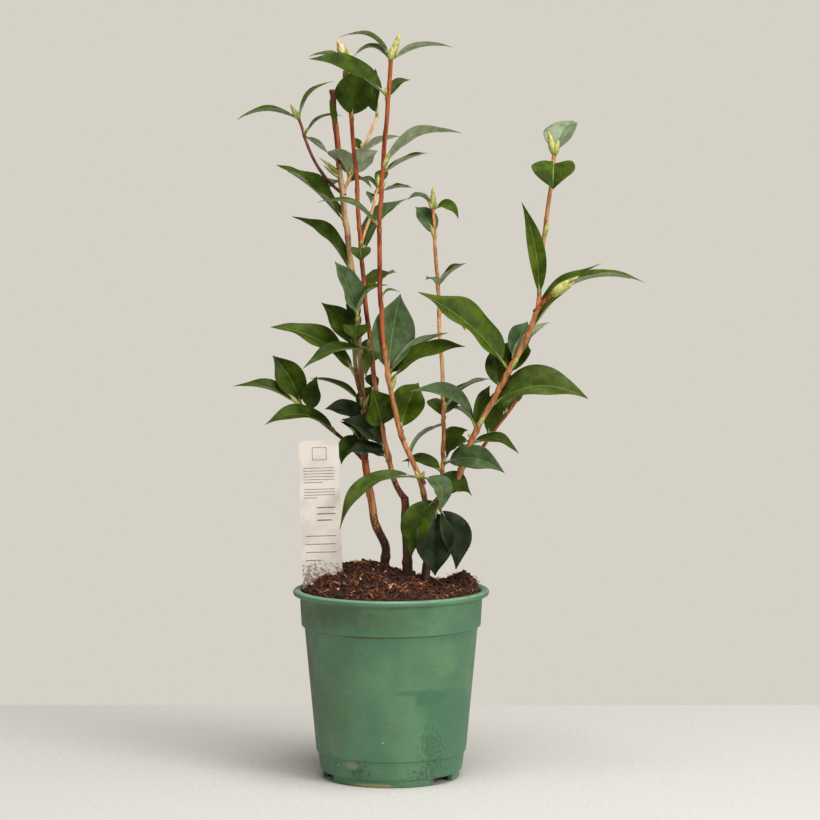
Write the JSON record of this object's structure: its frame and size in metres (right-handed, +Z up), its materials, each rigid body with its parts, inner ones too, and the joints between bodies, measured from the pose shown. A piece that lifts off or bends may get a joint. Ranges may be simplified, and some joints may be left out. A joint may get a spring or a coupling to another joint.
{
  "type": "potted shrub",
  "caption": "Young camellia shrub with upright leafy stems in a round nursery pot filled with potting soil, with a plain plant label.",
  "frame": {"origin": "middle of the flat underside of the pot, on the plane it stands on", "axes": "+Z up along the pot's axis, +X to the right as seen from the front, +Y to the back"},
  "size_m": [0.2703, 0.13, 0.4908],
  "materials": {
    "pot": "moulded polypropylene, faintly stained",
    "soil": "damp potting soil with bark chips",
    "label": "thin off-white plastic, plain",
    "bark": "young red-brown bark",
    "foliage": "glossy dark green leaves on thin twigs"
  },
  "bodies": {
    "root": {"pot": "pot", "soil": "soil", "plant_label": "label", "left_stem": "bark", "middle_stem": "bark", "right_stem": "bark", "middle_bough": "bark", "front_bough": "bark", "right_bough": "bark", "front_top_leaves": "foliage", "middle_top_leaves": "foliage", "left_top_leaves": "foliage", "inner_leaves": "foliage", "left_twig_leaves": "foliage", "back_twig_leaves": "foliage", "middle_twig_leaves": "foliage", "slender_shoot_leaves": "foliage", "right_lower_leaves": "foliage", "right_top_leaves": "foliage", "right_twig_leaves": "foliage", "right_low_leaves": "foliage", "low_left_leaves": "foliage", "low_front_leaves": "foliage", "foot_leaves": "foliage"}
  },
  "joints": []
}
